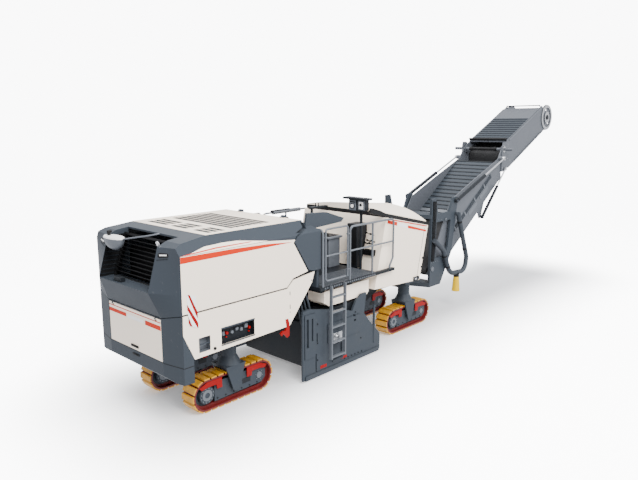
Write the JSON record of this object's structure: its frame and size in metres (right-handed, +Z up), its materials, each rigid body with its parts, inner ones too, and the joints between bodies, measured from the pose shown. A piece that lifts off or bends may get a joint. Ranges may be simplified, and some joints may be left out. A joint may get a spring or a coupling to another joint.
{
  "type": "cold planer milling machine",
  "caption": "Tracked cold planer that mills asphalt with a drum under its middle and throws it ahead on a folding discharge conveyor.",
  "frame": {"origin": "on the ground, under the middle of the whole machine with its conveyor out", "axes": "+X ahead towards the conveyor's tip, +Y left, +Z up"},
  "size_m": [15.1783, 2.7, 5.4697],
  "materials": {
    "cream_paint": "satin",
    "slate_paint": "satin",
    "dark_paint": "satin",
    "black_paint": "matte",
    "grey_paint": "satin",
    "red_paint": "satin",
    "yellow_pads": "matte",
    "rubber_belt": "matte",
    "worn_steel": "satin",
    "bright_steel": "satin",
    "yellow_rubber": "matte"
  },
  "bodies": {
    "chassis": {"main_frame": "grey_paint", "engine_block": "dark_paint", "cooler": "black_paint", "lower_panel_right": "cream_paint", "lower_panel_left": "cream_paint", "rear_bumper": "cream_paint", "rear_panel": "cream_paint", "bulkhead": "slate_paint", "centre_cover": "slate_paint", "platform_floor": "dark_paint", "guard_rails": "dark_paint", "frame_crossbars": "grey_paint", "column_sleeves": "dark_paint", "ladders": "bright_steel", "operator_console": "dark_paint", "platform_boxes": "cream_paint", "lashing_eyes": "grey_paint", "front_housing": "cream_paint", "cover_skirt": "black_paint", "front_cover": "cream_paint", "drum_housing": "dark_paint", "belly_conveyor": "dark_paint"},
    "hood": {"hood_shell": "cream_paint", "intake_grille": "black_paint"},
    "rear_flap": {"rear_flap": "cream_paint"},
    "gate_right": {"gate_right": "dark_paint"},
    "gate_left": {"gate_left": "dark_paint"},
    "milling_drum": {"milling_drum": "worn_steel"},
    "scraper": {"scraper": "dark_paint"},
    "side_plate_right": {"side_plate_right": "slate_paint"},
    "side_plate_left": {"side_plate_left": "slate_paint"},
    "slew_frame": {"slew_frame": "slate_paint", "dust_duct": "slate_paint", "duct_sleeve": "yellow_rubber"},
    "lower_conveyor": {"lower_conveyor_frame": "grey_paint", "lower_conveyor_belt": "rubber_belt", "lower_conveyor_cover": "slate_paint"},
    "upper_conveyor": {"upper_conveyor_frame": "grey_paint", "upper_conveyor_belt": "rubber_belt", "head_drum": "dark_paint"},
    "lift_barrels": {"lift_barrels": "dark_paint"},
    "lift_rods": {"lift_rods": "bright_steel"},
    "fold_barrels": {"fold_barrels": "dark_paint"},
    "fold_rods": {"fold_rods": "bright_steel"},
    "leg_rear_right": {"leg_rear_right": "slate_paint", "track_frame_rear_right": "slate_paint", "track_belt_rear_right": "yellow_pads", "track_guard_rear_right": "red_paint"},
    "leg_rear_left": {"leg_rear_left": "slate_paint", "track_frame_rear_left": "slate_paint", "track_belt_rear_left": "yellow_pads", "track_guard_rear_left": "red_paint"},
    "leg_front_right": {"leg_front_right": "slate_paint", "track_frame_front_right": "slate_paint", "track_belt_front_right": "yellow_pads", "track_guard_front_right": "red_paint"},
    "leg_front_left": {"leg_front_left": "slate_paint", "track_frame_front_left": "slate_paint", "track_belt_front_left": "yellow_pads", "track_guard_front_left": "red_paint"}
  },
  "joints": [
    {"name": "hood_lift", "type": "hinge", "parent": "chassis", "child": "hood", "pos_m": [-4.59, 0, 3.12], "axis": [0, 1, 0], "range_deg": [0, 55]},
    {"name": "rear_flap_hinge", "type": "hinge", "parent": "chassis", "child": "rear_flap", "pos_m": [-7.42, 0, 1.82], "axis": [0, 1, 0], "range_deg": [0, 80]},
    {"name": "gate_right_hinge", "type": "hinge", "parent": "chassis", "child": "gate_right", "pos_m": [-3.5, -1.265, 2.3], "axis": [0, 0, -1], "range_deg": [0, 90]},
    {"name": "gate_left_hinge", "type": "hinge", "parent": "chassis", "child": "gate_left", "pos_m": [-3.5, 1.265, 2.3], "axis": [0, 0, 1], "range_deg": [0, 90]},
    {"name": "drum_spin", "type": "hinge", "parent": "chassis", "child": "milling_drum", "pos_m": [-3.49, 0, 0.56], "axis": [0, 1, 0], "continuous": true},
    {"name": "scraper_slide", "type": "slide", "parent": "chassis", "child": "scraper", "axis": [0, 0, 1], "range_m": [0, 0.3]},
    {"name": "side_plate_right_slide", "type": "slide", "parent": "chassis", "child": "side_plate_right", "axis": [0, 0, 1], "range_m": [0, 0.3]},
    {"name": "side_plate_left_slide", "type": "slide", "parent": "chassis", "child": "side_plate_left", "axis": [0, 0, 1], "range_m": [0, 0.3]},
    {"name": "steer_rear_right", "type": "hinge", "parent": "chassis", "child": "leg_rear_right", "pos_m": [-6.01, -0.65, 0.3], "axis": [0, 0, 1], "range_deg": [-25, 25]},
    {"name": "steer_rear_left", "type": "hinge", "parent": "chassis", "child": "leg_rear_left", "pos_m": [-6.01, 0.65, 0.3], "axis": [0, 0, 1], "range_deg": [-25, 25]},
    {"name": "steer_front_right", "type": "hinge", "parent": "chassis", "child": "leg_front_right", "pos_m": [-0.67, -0.65, 0.3], "axis": [0, 0, 1], "range_deg": [-25, 25]},
    {"name": "steer_front_left", "type": "hinge", "parent": "chassis", "child": "leg_front_left", "pos_m": [-0.67, 0.65, 0.3], "axis": [0, 0, 1], "range_deg": [-25, 25]},
    {"name": "conveyor_slew", "type": "hinge", "parent": "chassis", "child": "slew_frame", "pos_m": [0.21, 0, 1.5], "axis": [0, 0, 1], "range_deg": [-55, 55]},
    {"name": "conveyor_lift", "type": "hinge", "parent": "slew_frame", "child": "lower_conveyor", "pos_m": [0.46, 0, 1.25], "axis": [0, -1, 0], "range_deg": [-15, 4]},
    {"name": "conveyor_fold", "type": "hinge", "parent": "lower_conveyor", "child": "upper_conveyor", "pos_m": [4.21, 0, 4.13], "axis": [0, -1, 0], "range_deg": [0, 120]},
    {"name": "lift_barrel_turn", "type": "hinge", "parent": "slew_frame", "child": "lift_barrels", "pos_m": [1.46, 0, 2.9], "axis": [0, -1, 0], "range_deg": [-24, 8]},
    {"name": "lift_rod_slide", "type": "slide", "parent": "lift_barrels", "child": "lift_rods", "axis": [0.9334, 0, 0.3587], "range_m": [-0.12, 0.42]},
    {"name": "fold_barrel_turn", "type": "hinge", "parent": "lower_conveyor", "child": "fold_barrels", "pos_m": [3.01, 0, 2.3], "axis": [0, -1, 0], "range_deg": [-1, 10]},
    {"name": "fold_rod_slide", "type": "slide", "parent": "fold_barrels", "child": "fold_rods", "axis": [0.7057, 0, 0.7085], "range_m": [-0.01, 0.95]}
  ],
  "couplings": [
    {"joint": "lift_barrel_turn", "follows": "conveyor_lift", "ratio": 1.45},
    {"joint": "lift_rod_slide", "follows": "conveyor_lift", "m_per_rad": -1.4},
    {"joint": "fold_barrel_turn", "follows": "conveyor_fold", "ratio": 0.064},
    {"joint": "fold_rod_slide", "follows": "conveyor_fold", "m_per_rad": 0.441}
  ]
}
